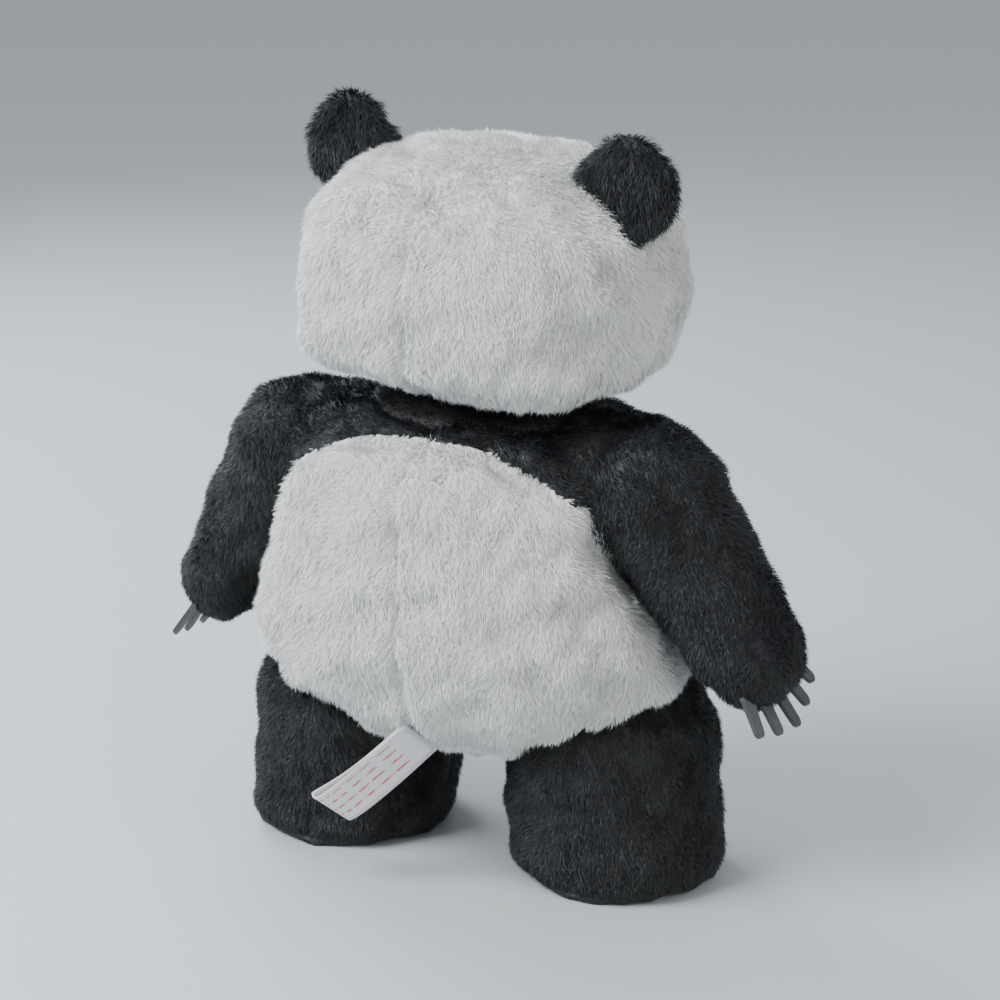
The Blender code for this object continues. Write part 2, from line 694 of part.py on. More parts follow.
def turned(profile, spot, normal, closed=False, steps=16):
    """Spin a profile of (radius, height) about the normal through the spot."""
    data = bmesh.new()
    points = [data.verts.new((radius, 0, height)) for radius, height in profile]
    edges = [data.edges.new(pair) for pair in zip(points, points[1:])]
    if closed:
        edges.append(data.edges.new((points[-1], points[0])))
    bmesh.ops.spin(
        data,
        geom=points + edges,
        cent=(0, 0, 0),
        axis=(0, 0, 1),
        angle=2 * math.pi,
        steps=steps,
        use_merge=True,
    )
    bmesh.ops.remove_doubles(data, verts=data.verts[:], dist=0.00001)
    bmesh.ops.recalc_face_normals(data, faces=data.faces[:])
    turn = Vector((0, 0, 1)).rotation_difference(normal).to_matrix()
    bmesh.ops.rotate(data, verts=data.verts[:], cent=(0, 0, 0), matrix=turn)
    return shifted(data, spot)


def build_mouth(looks, holder, muzzle_at):
    """One stitched thread: down from the nose and out in a calm curve."""
    line = bpy.data.curves.new("mouth_stitching", "CURVE")
    line.dimensions = "3D"
    line.bevel_depth = MOUTH_THREAD_R
    line.bevel_resolution = 1
    line.use_fill_caps = True
    line.materials.append(looks["nose"])
    off = Vector((1, 1, 1)) * (FIT + MOUTH_THREAD_R * 1.6)
    half = MUZZLE_HALF + off
    spline = line.splines.new("POLY")
    count = 11
    spline.points.add(count - 1)
    for index in range(count):
        share = index / (count - 1) * 2 - 1
        x = share * 0.012
        z = -0.0035 - 0.0035 * math.sin(math.pi * abs(share)) + 0.001 * abs(share)
        depth = math.sqrt(1 - (x / half.x) ** 2 - (z / half.z) ** 2)
        spot = muzzle_at + Vector((x, -half.y * depth, z))
        spline.points[index].co = (*spot, 1.0)
    made = bpy.data.objects.new("mouth_stitching", line)
    bpy.context.scene.collection.objects.link(made)
    made.parent = holder


def build_ear(looks, holder, word, side):
    up_axis = Vector((side * math.sin(EAR_TILT), 0, math.cos(EAR_TILT)))
    spot = HEAD_MIDDLE + Vector((side * EAR_BASE_OUT, EAR_BACK, EAR_BASE_UP))
    ear_holder = empty("ear_pivot_" + word, spot, holder)
    lean = Matrix.Rotation(side * EAR_TILT, 3, "Y")
    half_sizes = (EAR_HALF_CHORD, EAR_HALF_THICK, EAR_HALF_HEIGHT)
    root = half_space(up_axis, -up_axis * EAR_ROOT)
    root_cut = hidden(place("cut_ear_root_" + word, root, None, ear_holder))
    for half, sign in (("back", 1), ("front", -1)):
        name = "ear_" + half + "_" + word
        ear = place(name, ovoid(up_axis * EAR_RISE, half_sizes, lean), looks["black"], ear_holder)
        data = half_space(Vector((0, sign, 0)), (0, sign * SEAM / 2, 0))
        carve(ear, hidden(place("cut_" + name, data, None, ear_holder)), "INTERSECT")
        carve(ear, root_cut, "INTERSECT")


def build_arm(looks, centre, word, side):
    where = Vector((side * ARM_PIVOT.x, ARM_PIVOT.y, ARM_PIVOT.z))
    holder = empty("arm_pivot_" + word, where, centre)
    outward = arm_outward(side)
    inward_x = Vector((-side, 0, 0))
    keep = "INTERSECT"

    def cutter(name, data):
        return hidden(place("cut_" + name + "_" + word, data, None, holder))

    outer_half = cutter("arm_outer", half_space(outward, outward * SEAM / 2))
    inner_half = cutter("arm_inner", half_space(-outward, -outward * SEAM / 2))
    root_face = inward_x * (WAD_INSET - SEAM / 2)
    beyond = cutter("arm_root", half_space(-inward_x, root_face))
    for name, half in (("arm_outer_", outer_half), ("arm_inner_", inner_half)):
        data = hollow(arm_form(side), arm_form(side, CLOTH))
        panel = place(name + word, data, looks["black"], holder)
        carve(panel, half, keep)
        carve(panel, beyond, keep)
    fill = place("arm_stuffing_" + word, arm_form(side, CLOTH + FIT), looks["stuffing"], holder)
    carve(fill, beyond, keep)

    wad = place("shoulder_wad_" + word, ball((0, 0, 0), ARM_BALL_R, 16), looks["stuffing"], holder)
    wad_face = inward_x * (WAD_INSET + SEAM / 2)
    carve(wad, cutter("wad_face", half_space(inward_x, wad_face)), keep)

    hand = cutter("around_hand", arm_form(side, -FIT))
    for index in range(CLAWS_PER_HAND):
        claw = place("claw_%s_%d" % (word, index + 1), claw_form(side, index), looks["claw"], holder)
        carve(claw, hand)


def build_leg(looks, centre, word, side):
    where = Vector((side * HIP_PIVOT.x, HIP_PIVOT.y, HIP_PIVOT.z))
    holder = empty("hip_pivot_" + word, where, centre)
    keep = "INTERSECT"

    def cutter(name, data):
        return hidden(place("cut_" + name + "_" + word, data, None, holder))

    seam_x = side * (SOLE_CENTRE_X - HIP_PIVOT.x) / 2
    outer_half = cutter("leg_outer", half_space(Vector((side, 0, 0)), (seam_x + side * SEAM / 2, 0, 0)))
    inner_half = cutter("leg_inner", half_space(Vector((-side, 0, 0)), (seam_x - side * SEAM / 2, 0, 0)))
    floor = -HIP_PIVOT.z
    sole_top = floor + SOLE_THICK
    insole_low = sole_top + FIT
    insole_top = insole_low + INSOLE_THICK
    tube_low = cutter("tube_low", half_space(Vector((0, 0, 1)), (0, 0, sole_top + FIT)))
    for name, half in (("leg_outer_", outer_half), ("leg_inner_", inner_half)):
        data = hollow(leg_form(side), leg_form(side, CLOTH, SOLE_THICK / 2))
        panel = place(name + word, data, looks["black"], holder)
        carve(panel, tube_low, keep)
        carve(panel, half, keep)
    fill_low = cutter("fill_low", half_space(Vector((0, 0, 1)), (0, 0, insole_top + FIT)))
    fill = place("leg_stuffing_" + word, leg_form(side, CLOTH + FIT), looks["stuffing"], holder)
    carve(fill, fill_low, keep)

    sole_low = cutter("sole_low", half_space(Vector((0, 0, -1)), (0, 0, sole_top)))
    carve(place("sole_" + word, leg_form(side), looks["black"], holder), sole_low, keep)

    board_r = SOLE_R - SOLE_ROUNDING - CLOTH - FIT * 2
    lean = side * (SOLE_CENTRE_X - HIP_PIVOT.x)
    board = rod((lean, 0, insole_low), (lean, 0, insole_top), board_r, 28)
    place("insole_" + word, board, looks["board"], holder)


def main():
    for old in list(bpy.data.objects):
        bpy.data.objects.remove(old, do_unlink=True)
    looks = {
        "white": finish("white_pile", (0.86, 0.86, 0.84), 0.9),
        "black": finish("black_pile", (0.018, 0.020, 0.024), 0.85),
        "stuffing": finish("polyester_stuffing", (0.90, 0.90, 0.88), 0.95),
        "bag": finish("pellet_bag_cloth", (0.70, 0.68, 0.62), 0.9),
        "claw": finish("claw_felt", (0.095, 0.105, 0.115), 0.8),
        "eye": finish("eye_gloss", (0.010, 0.008, 0.007), 0.12),
        "washer": finish("washer_plastic", (0.80, 0.80, 0.78), 0.5),
        "nose": finish("nose_thread", (0.015, 0.014, 0.015), 0.6),
        "ribbon": finish("label_ribbon", (0.82, 0.80, 0.80), 0.35),
        "board": finish("insole_board", (0.45, 0.36, 0.26), 0.9),
    }
    centre = empty("panda", (0, 0, 0))
    build_torso(looks, centre)
    build_label(looks, centre)
    build_head(looks, centre)
    for word, side in (("left", 1), ("right", -1)):
        build_arm(looks, centre, word, side)
        build_leg(looks, centre, word, side)


main()
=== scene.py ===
"""Looks of the standing plush panda: padded skins, combed pile, face, felt claws, ribbon label."""
import json
import math

import bmesh
import bpy
import numpy as np
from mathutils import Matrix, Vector
from mathutils.bvhtree import BVHTree


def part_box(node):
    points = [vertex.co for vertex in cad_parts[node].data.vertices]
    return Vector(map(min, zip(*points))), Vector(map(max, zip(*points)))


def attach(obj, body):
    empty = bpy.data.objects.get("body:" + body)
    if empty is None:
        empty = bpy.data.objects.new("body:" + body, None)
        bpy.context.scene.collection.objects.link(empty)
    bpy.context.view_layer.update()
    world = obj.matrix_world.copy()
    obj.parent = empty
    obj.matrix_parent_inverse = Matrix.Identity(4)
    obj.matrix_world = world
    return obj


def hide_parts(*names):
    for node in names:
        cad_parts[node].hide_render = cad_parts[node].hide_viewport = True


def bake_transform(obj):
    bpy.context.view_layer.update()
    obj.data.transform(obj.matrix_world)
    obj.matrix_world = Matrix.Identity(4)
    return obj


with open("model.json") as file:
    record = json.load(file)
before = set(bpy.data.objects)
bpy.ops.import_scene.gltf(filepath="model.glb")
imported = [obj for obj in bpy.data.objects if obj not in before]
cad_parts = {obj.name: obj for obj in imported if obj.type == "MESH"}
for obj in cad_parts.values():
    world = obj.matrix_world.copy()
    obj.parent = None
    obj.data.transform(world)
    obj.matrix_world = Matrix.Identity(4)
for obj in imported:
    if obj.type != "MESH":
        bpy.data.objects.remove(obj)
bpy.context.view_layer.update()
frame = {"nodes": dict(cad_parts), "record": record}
BODIES = frame["record"]["behaviour"]["bodies"]
JOINTS = {joint["name"]: joint for joint in frame["record"]["behaviour"]["joints"]}
SIDES = (("left", 1), ("right", -1))

# ---- sizes, metres ----
VOXEL = 0.0022
SEAM_WIDTH = 0.0026
SEAM_DEPTH = 0.0022
WHITE_PILE = 0.0037
BLACK_PILE = 0.0030
FACE_PILE = 0.0026
EAR_PILE = 0.0040
EAR_PER_SQUARE_MM = 4.5
BLADE_WIDTH = 0.00027
PER_SQUARE_MM = 2.8
BURIED = 0.0050
ARM_SPLAY = math.radians(34.0)
ARM_FORWARD = math.radians(7.0)
OVAL_HALF_WIDTH = 0.0930
OVAL_HALF_HEIGHT = 0.1035
OVAL_SQUARE = 2.25
OVAL_CENTRE_Z = 0.066
OVAL_OPENS_Z = 0.112


def joint_point(name):
    return np.array(JOINTS[name]["pos_m"])


NECK = joint_point("neck_turn")


# ---- shader maths ----
class Value:
    """A socket that takes part in arithmetic."""

    def __init__(self, tree, socket):
        self.tree = tree
        self.socket = socket

    def _math(self, operation, a, b):
        node = self.tree.nodes.new("ShaderNodeMath")
        node.operation = operation
        for socket, item in zip(node.inputs, (a, b)):
            if isinstance(item, Value):
                self.tree.links.new(item.socket, socket)
            elif item is not None:
                socket.default_value = item
        return Value(self.tree, node.outputs[0])

    def __add__(self, other):
        return self._math("ADD", self, other)

    __radd__ = __add__

    def __mul__(self, other):
        return self._math("MULTIPLY", self, other)

    __rmul__ = __mul__

    def __sub__(self, other):
        return self._math("SUBTRACT", self, other)

    def __rsub__(self, other):
        return self._math("SUBTRACT", other, self)

    def over(self, limit):
        return self._math("GREATER_THAN", self, limit)

    def wave(self):
        return self._math("SINE", self, None)

    def absolute(self):
        return self._math("ABSOLUTE", self, None)


class Look:
    """One material and the few ways this script wires it."""

    def __init__(self, name, colour=(0.8, 0.8, 0.8), roughness=0.8, **constants):
        self.material = bpy.data.materials.new(name)
        self.material.use_nodes = True
        self.tree = self.material.node_tree
        self.shader = self.tree.nodes["Principled BSDF"]
        self.shader.inputs["Base Color"].default_value = (*colour, 1)
        self.shader.inputs["Roughness"].default_value = roughness
        for key, value in constants.items():
            self.shader.inputs[key.replace("_", " ")].default_value = value

    def node(self, kind, settings=None, **inputs):
        made = self.tree.nodes.new("ShaderNode" + kind)
        for key, value in (settings or {}).items():
            setattr(made, key, value)
        for key, value in inputs.items():
            socket = made.inputs[key.replace("_", " ")]
            if isinstance(value, Value):
                self.tree.links.new(value.socket, socket)
            elif isinstance(value, bpy.types.NodeSocket):
                self.tree.links.new(value, socket)
            else:
                socket.default_value = value
        return made

    def number(self, socket):
        return Value(self.tree, socket)

    def ramp(self, factor, stops):
        made = self.node("ValToRGB", Fac=factor)
        scale = made.color_ramp
        while len(scale.elements) < len(stops):
            scale.elements.new(0.5)
        for element, (place, colour) in zip(scale.elements, stops):
            element.position = place
            element.color = (*colour, 1)
        return made.outputs["Color"]

    def blend_colours(self, factor, first, second, mode="MIX"):
        made = self.tree.nodes.new("ShaderNodeMix")
        made.data_type = "RGBA"
        made.blend_type = mode
        for socket, item in ((made.inputs[0], factor), (made.inputs[6], first), (made.inputs[7], second)):
            if isinstance(item, Value):
                self.tree.links.new(item.socket, socket)
            elif isinstance(item, bpy.types.NodeSocket):
                self.tree.links.new(item, socket)
            elif isinstance(item, tuple):
                socket.default_value = (*item, 1)
            else:
                socket.default_value = item
        return made.outputs[2]

    def feed(self, name, source):
        socket = source.socket if isinstance(source, Value) else source
        self.tree.links.new(socket, self.shader.inputs[name])

    def bump(self, height, strength, distance):
        made = self.node("Bump", Strength=strength, Distance=distance, Height=height)
        self.feed("Normal", made.outputs["Normal"])

    def object_place(self):
        return self.node("TexCoord").outputs["Object"]


def pile_look(name, root, tip, light, roughness, **constants):
    """Pile colour runs from root to tip, with the root painted darker as shade, and from strand to strand,
    where the top tone stop paints the brightest strands as highlight flecks.
    """
    look = Look(name, tip, roughness, **constants)
    strand = look.node("UVMap", {"uv_map": "OFBake"})
    parts = look.node("SeparateXYZ", Vector=strand.outputs["UV"])
    along = look.number(parts.outputs["Y"])
    tone = look.number(parts.outputs["X"])
    # Ramp from root to tip: the root end is painted darker, as painted shade deep in the pile.
    body = look.ramp(along, ((0.0, root), (0.45, tuple((r + t) / 2 for r, t in zip(root, tip))), (1.0, tip)))
    # Strand tones differ at random; the last stop, light, turns the brightest strands into painted highlight
    # flecks wherever it is brighter than white.
    tones_and_painted_glints = ((0.0, (0.80, 0.80, 0.80)), (0.5, (0.95, 0.95, 0.95)), (0.93, (1, 1, 1)), (1.0, light))
    shade = look.ramp(tone, tones_and_painted_glints)
    look.feed("Base Color", look.blend_colours(1.0, body, shade, "MULTIPLY"))
    return look


def felt_look(name, colour, fibre=900.0):
    look = Look(name, colour, 0.85, Sheen_Weight=0.35, Sheen_Roughness=0.5)
    place = look.object_place()
    fuzz = look.node("TexNoise", Vector=place, Scale=fibre, Detail=4.0, Roughness=0.7)
    cloud = look.node("TexNoise", Vector=place, Scale=fibre / 8, Detail=2.0)
    amount = look.number(fuzz.outputs["Fac"]) * 0.7 + look.number(cloud.outputs["Fac"]) * 0.3
    dark = tuple(c * 0.55 for c in colour)
    light = tuple(min(1.0, c * 1.7) for c in colour)
    look.feed("Base Color", look.ramp(amount, ((0.3, dark), (0.5, colour), (0.72, light))))
    look.feed("Roughness", 0.75 + 0.2 * look.number(cloud.outputs["Fac"]))
    look.bump(amount, 0.6, 0.0002)
    return look


def fibre_look(name, colour):
    look = Look(name, colour, 0.95)
    wool = look.node("TexNoise", Vector=look.object_place(), Scale=160.0, Detail=6.0, Roughness=0.75)
    amount = look.number(wool.outputs["Fac"])
    dark = tuple(c * 0.8 for c in colour)
    look.feed("Base Color", look.ramp(amount, ((0.3, dark), (0.7, colour))))
    look.bump(amount, 0.8, 0.001)
    return look


def gloss_look(name, colour, roughness):
    look = Look(name, colour, roughness, Coat_Weight=0.6, Coat_Roughness=0.05)
    haze = look.node("TexNoise", Vector=look.object_place(), Scale=220.0, Detail=3.0)
    look.feed("Roughness", roughness + 0.08 * look.number(haze.outputs["Fac"]))
    return look


def ribbon_look():
    """Woven satin with rows of plain printed dashes."""
    look = Look("label_satin", (0.80, 0.79, 0.80), 0.35, Sheen_Weight=0.2, Anisotropic=0.4)
    strand = look.node("UVMap", {"uv_map": "OFBake"})
    parts = look.node("SeparateXYZ", Vector=strand.outputs["UV"])
    across = look.number(parts.outputs["X"])
    along = look.number(parts.outputs["Y"])
    weave = (along * 900.0).wave() * 0.5 + (across * 260.0).wave() * 0.5
    noise = look.node("TexNoise", Vector=strand.outputs["UV"], Scale=46.0, Detail=2.0)
    wobble = look.number(noise.outputs["Fac"])
    gap = ((along * 95.0 + wobble * 9.0).wave()).over(-0.35)
    line = ((across * 31.4).wave()).over(0.72)
    inside = (across - 0.5).absolute()
    field = 1.0 - inside.over(0.36)
    written = look.number(parts.outputs["Y"]).over(0.08) * (1.0 - look.number(parts.outputs["Y"]).over(0.44))
    ink = gap * line * field * written
    stripe = inside.over(0.40) * (1.0 - inside.over(0.425))
    base = look.ramp(weave * 0.5 + 0.5, ((0.0, (0.70, 0.70, 0.72)), (1.0, (0.86, 0.85, 0.86))))
    marked = look.blend_colours(ink * 0.85, base, (0.62, 0.05, 0.07))
    look.feed("Base Color", look.blend_colours(stripe * 0.5, marked, (0.85, 0.35, 0.42)))
    look.feed("Roughness", 0.30 + 0.15 * weave)
    look.bump(weave, 0.25, 0.00008)
    return look


# Pile roots are painted darker than the tips (0.70 against 0.90 for white): painted shade among the crowded
# strands.
WHITE = pile_look(
    "white_pile", (0.70, 0.70, 0.69), (0.90, 0.90, 0.885), (1, 1, 1), 0.75,
    Sheen_Weight=0.25, Sheen_Roughness=0.4,
)
# Black pile: roots painted darker as shade, and the top tone stop (1.6 to 1.8) paints the brightest strands
# as bluish painted highlight flecks.
BLACK = pile_look(
    "black_pile", (0.004, 0.0045, 0.005), (0.0105, 0.012, 0.0145), (1.6, 1.7, 1.8), 0.60,
    Sheen_Weight=0.05, Sheen_Roughness=0.4, Sheen_Tint=(0.55, 0.68, 0.90, 1),
)
CLAW_FELT = felt_look("claw_felt", (0.036, 0.039, 0.046))
STUFFING = fibre_look("polyester_stuffing", (0.88, 0.88, 0.86))
BAG_CLOTH = felt_look("pellet_bag_cloth", (0.66, 0.64, 0.58), 400.0)
BOARD = felt_look("insole_board", (0.42, 0.33, 0.23), 500.0)
EYE_GLOSS = gloss_look("eye_gloss", (0.012, 0.009, 0.008), 0.08)
WASHER = gloss_look("washer_plastic", (0.78, 0.78, 0.76), 0.4)
NOSE = felt_look("nose_thread", (0.010, 0.0095, 0.010), 1500.0)
SATIN = ribbon_look()


# ---- mesh helpers ----
def clear_selection():
    bpy.ops.object.select_all(action="DESELECT")


def activate(obj):
    clear_selection()
    obj.select_set(True)
    bpy.context.view_layer.objects.active = obj


def node_copy(name):
    source = frame["nodes"][name]
    made = source.copy()
    made.data = source.data.copy()
    made.parent = None
    made.hide_render = False
    made.hide_viewport = False
    for key in list(made.keys()):
        del made[key]
    bpy.context.scene.collection.objects.link(made)
    made.hide_set(False)
    return made


def joined(name, pieces):
    clear_selection()
    for piece in pieces:
        piece.select_set(True)
    bpy.context.view_layer.objects.active = pieces[0]
    bpy.ops.object.join()
    made = bpy.context.view_layer.objects.active
    made.name = name
    made.data.name = name
    return made


def filler_ball(where, radius, squash=(1, 1, 1)):
    clear_selection()
    bpy.ops.mesh.primitive_uv_sphere_add(
        segments=32, ring_count=16, radius=radius, location=where, scale=squash
    )
    made = bpy.context.object
    bpy.ops.object.transform_apply(location=True, rotation=True, scale=True)
    return made


def outermost(obj):
    """Keep the outside shell and drop the closed ones inside it."""
    activate(obj)
    bpy.ops.object.mode_set(mode="EDIT")
    bpy.ops.mesh.select_all(action="SELECT")
    bpy.ops.mesh.separate(type="LOOSE")
    bpy.ops.object.mode_set(mode="OBJECT")
    shells = sorted(bpy.context.selected_objects, key=lambda shell: shell.dimensions.length)
    for shell in shells[:-1]:
        bpy.data.objects.remove(shell, do_unlink=True)
    activate(shells[-1])
    return shells[-1]


def remeshed(obj, voxel, smoothing):
    activate(obj)
    obj.data.remesh_voxel_size = voxel
    obj.data.remesh_voxel_adaptivity = 0.0
    bpy.ops.object.voxel_remesh()
    obj = outermost(obj)
    step = obj.modifiers.new("relax", "SMOOTH")
    step.factor = 0.5
    step.iterations = smoothing
    bpy.ops.object.modifier_apply(modifier=step.name)
    return obj


def puffed(obj, cap):
    """Blow the skin up a little with cloth pressure, so that it pulls in at its folds."""
    before = coordinates(obj)
    activate(obj)
    step = obj.modifiers.new("stuffed", "CLOTH")
    cloth = step.settings
    cloth.quality = 4
    cloth.use_pressure = True
    cloth.uniform_pressure_force = 3.0
    cloth.effector_weights.gravity = 0.0
    cloth.tension_stiffness = 20
    cloth.bending_stiffness = 1.0
    scene = bpy.context.scene
    for number in range(1, 13):
        scene.frame_set(number)
    bpy.ops.object.modifier_apply(modifier=step.name)
    scene.frame_set(1)
    after = coordinates(obj)
    move = after - before
    length = np.linalg.norm(move, axis=1, keepdims=True)
    move *= np.minimum(1.0, cap / np.maximum(length, 1e-9))
    set_coordinates(obj, before + move)
    return obj


def coordinates(obj):
    flat = np.empty(len(obj.data.vertices) * 3, dtype=np.float32)
    obj.data.vertices.foreach_get("co", flat)
    return flat.reshape(-1, 3).astype(np.float64)


def set_coordinates(obj, points):
    obj.data.vertices.foreach_set("co", np.asarray(points, dtype=np.float32).ravel())
    obj.data.update()


def vertex_normals(obj):
    flat = np.empty(len(obj.data.vertices) * 3, dtype=np.float32)
    obj.data.vertex_normals.foreach_get("vector", flat)
    return flat.reshape(-1, 3).astype(np.float64)


def triangles(obj):
    obj.data.calc_loop_triangles()
    flat = np.empty(len(obj.data.loop_triangles) * 3, dtype=np.int32)
    obj.data.loop_triangles.foreach_get("vertices", flat)
    return flat.reshape(-1, 3)


# ---- soft variation over the toy: sums of seeded waves ----
def wave_field(seed, size, count=7):
    rng = np.random.default_rng(seed)
    directions = rng.normal(size=(count, 3))
    directions /= np.linalg.norm(directions, axis=1, keepdims=True)
    pace = 2 * math.pi / size * rng.uniform(0.6, 1.6, count)
    phase = rng.uniform(0, 2 * math.pi, count)

    def field(points):
        total = np.zeros(len(points))
        for direction, rate, start in zip(directions, pace, phase):
            total += np.sin(points @ direction * rate + start)
        return total / math.sqrt(count / 2)

    return field


BROAD = wave_field(3, 0.045)
BROAD_SIDE = wave_field(4, 0.038)
TUFT = wave_field(5, 0.011, 9)
TUFT_SIDE = wave_field(6, 0.009, 9)
WISP = wave_field(7, 0.0035, 9)
WISP_SIDE = wave_field(8, 0.0032, 9)
LUMPS = wave_field(9, 0.030)
DIMPLES = wave_field(10, 0.014)


def unit(vectors):
    return vectors / np.maximum(np.linalg.norm(vectors, axis=1, keepdims=True), 1e-12)


def comb_down(points, normals, away=None):
    """Strands are brushed down the toy, with swirls, and parted along the seams."""
    down = np.zeros_like(normals)
    down[:, 2] = -1.0
    if away is not None:
        down = down + away
    tangent = down - normals * np.sum(down * normals, axis=1, keepdims=True)
    weak = np.linalg.norm(tangent, axis=1) < 0.15
    tangent[weak] += np.array([0.0, 0.6, 0.0])
    tangent = tangent - normals * np.sum(tangent * normals, axis=1, keepdims=True)
    tangent = unit(tangent)
    sideways = np.cross(normals, tangent)
    swirl = 0.30 * BROAD(points) + 0.16 * TUFT(points) + 0.16 * WISP(points)
    return unit(tangent + sideways * swirl[:, None])


def strands(points, normals, combed, length, width, lean, seed):
    """Flat curved blades: five corners each, root to tip. Returns corners and strand tones."""
    rng = np.random.default_rng(seed)
    count = len(points)
    tilt = lean + 0.08 * BROAD_SIDE(points) + 0.06 * TUFT_SIDE(points) + 0.08 * WISP_SIDE(points)
    tilt = np.clip(tilt + rng.normal(0, 0.16, count), 0.15, 1.40)[:, None]
    sideways = np.cross(normals, combed)
    stray = rng.normal(0, 0.28, count)[:, None]
    combed = unit(combed + sideways * stray)
    start = unit(normals * np.cos(tilt * 0.72) + combed * np.sin(tilt * 0.72))
    finish = unit(normals * np.cos(tilt * 1.12) + combed * np.sin(tilt * 1.12))
    size = length * (1.0 + 0.05 * TUFT(points) + rng.normal(0, 0.13, count))
    size = np.clip(size, length * 0.45, length * 1.5)[:, None]
    roll = rng.normal(0, 0.45, count)[:, None]
    flat = unit(np.cross(start, normals))
    flat = unit(flat * np.cos(roll) + np.cross(start, flat) * np.sin(roll))
    half = flat * (width * rng.uniform(0.7, 1.25, count)[:, None] / 2)
    root = points - normals * 0.0004
    middle = root + start * size * 0.52
    tip = middle + finish * size * 0.48
    corners = np.stack((root - half, root + half, middle + half * 0.85, middle - half * 0.85, tip), axis=1)
    face = np.cross(corners[:, 1] - corners[:, 0], corners[:, 4] - corners[:, 0])
    backward = np.sum(face * normals, axis=1) < 0
    corners[backward] = corners[backward][:, [1, 0, 3, 2, 4]]
    tone = 0.48 + 0.06 * BROAD(points) + 0.05 * TUFT(points) + rng.normal(0, 0.16, count)
    return corners, np.clip(tone, 0.02, 0.98)


def furry(name, skin_points, skin_triangles, corners, tone, look):
    """One piece: its patch of cloth and the strands on it, with strand colour in the UV map."""
    used, indices = np.unique(skin_triangles, return_inverse=True)
    cloth = skin_points[used]
    cloth_faces = indices.reshape(-1, 3)
    blades = len(corners)
    points = np.vstack((cloth, corners.reshape(-1, 3)))
    first = len(cloth) + np.arange(blades)[:, None] * 5
    quads = first + np.array([[0, 1, 2, 3]])
    tips = first + np.array([[3, 2, 4]])
    loops = np.concatenate((cloth_faces.ravel(), quads.ravel(), tips.ravel())).astype(np.int32)
    totals = np.concatenate(
        (np.full(len(cloth_faces), 3), np.full(blades, 4), np.full(blades, 3))
    ).astype(np.int32)
    starts = np.concatenate(([0], np.cumsum(totals)[:-1])).astype(np.int32)
    mesh = bpy.data.meshes.new(name)
    mesh.vertices.add(len(points))
    mesh.vertices.foreach_set("co", points.astype(np.float32).ravel())
    mesh.loops.add(len(loops))
    mesh.loops.foreach_set("vertex_index", loops)
    mesh.polygons.add(len(totals))
    mesh.polygons.foreach_set("loop_start", starts)
    mesh.polygons.foreach_set("loop_total", totals)
    uv = mesh.uv_layers.new(name="OFBake")
    spread = cloth[cloth_faces.ravel()]
    low, high = cloth.min(axis=0), cloth.max(axis=0)
    share = (spread - low) / np.maximum(high - low, 1e-6)
    cloth_tone = 0.05 + 0.9 * (0.6 * share[:, 0] + 0.4 * share[:, 1])
    # The cloth's v lies at the root end of the pile ramp, so the cloth under the strands takes the roots'
    # painted shade.
    cloth_uv = np.stack((cloth_tone, 0.005 + 0.04 * share[:, 2]), axis=1)
    edge = 0.005
    quad_uv = np.empty((blades, 4, 2))
    quad_uv[:, :, 0] = tone[:, None] + np.array([[-edge, edge, edge, -edge]])
    quad_uv[:, :, 1] = np.array([[0.08, 0.08, 0.55, 0.55]])
    tip_uv = np.empty((blades, 3, 2))
    tip_uv[:, :, 0] = tone[:, None] + np.array([[-edge, edge, 0.0]])
    tip_uv[:, :, 1] = np.array([[0.55, 0.55, 0.98]])
    every = np.concatenate((cloth_uv, quad_uv.reshape(-1, 2), tip_uv.reshape(-1, 2)))
    uv.data.foreach_set("uv", np.clip(every, 0.001, 0.999).astype(np.float32).ravel())
    mesh.update(calc_edges=True)
    mesh.validate()
    mesh.shade_smooth()
    mesh.materials.append(look.material)
    made = bpy.data.objects.new(name, mesh)
    bpy.context.scene.collection.objects.link(made)
    return made


def scattered(points, faces, normals, per_square_mm, seed):
    """Random places on triangles, evenly by area, with their normals."""
    rng = np.random.default_rng(seed)
    a, b, c = (points[faces[:, i]] for i in range(3))
    area = np.linalg.norm(np.cross(b - a, c - a), axis=1) / 2
    total = int(area.sum() * 1e6 * per_square_mm)
    chosen = np.searchsorted(np.cumsum(area), rng.uniform(0, area.sum(), total))
    chosen = np.minimum(chosen, len(faces) - 1)
    u = rng.uniform(0, 1, total)
    v = rng.uniform(0, 1, total)
    over = u + v > 1
    u[over] = 1 - u[over]
    v[over] = 1 - v[over]
    w = (1 - u - v)[:, None]
    u = u[:, None]
    v = v[:, None]
    spot = a[chosen] * w + b[chosen] * u + c[chosen] * v
    normal = normals[faces[chosen, 0]] * w + normals[faces[chosen, 1]] * u + normals[faces[chosen, 2]] * v
    return spot, unit(normal), chosen


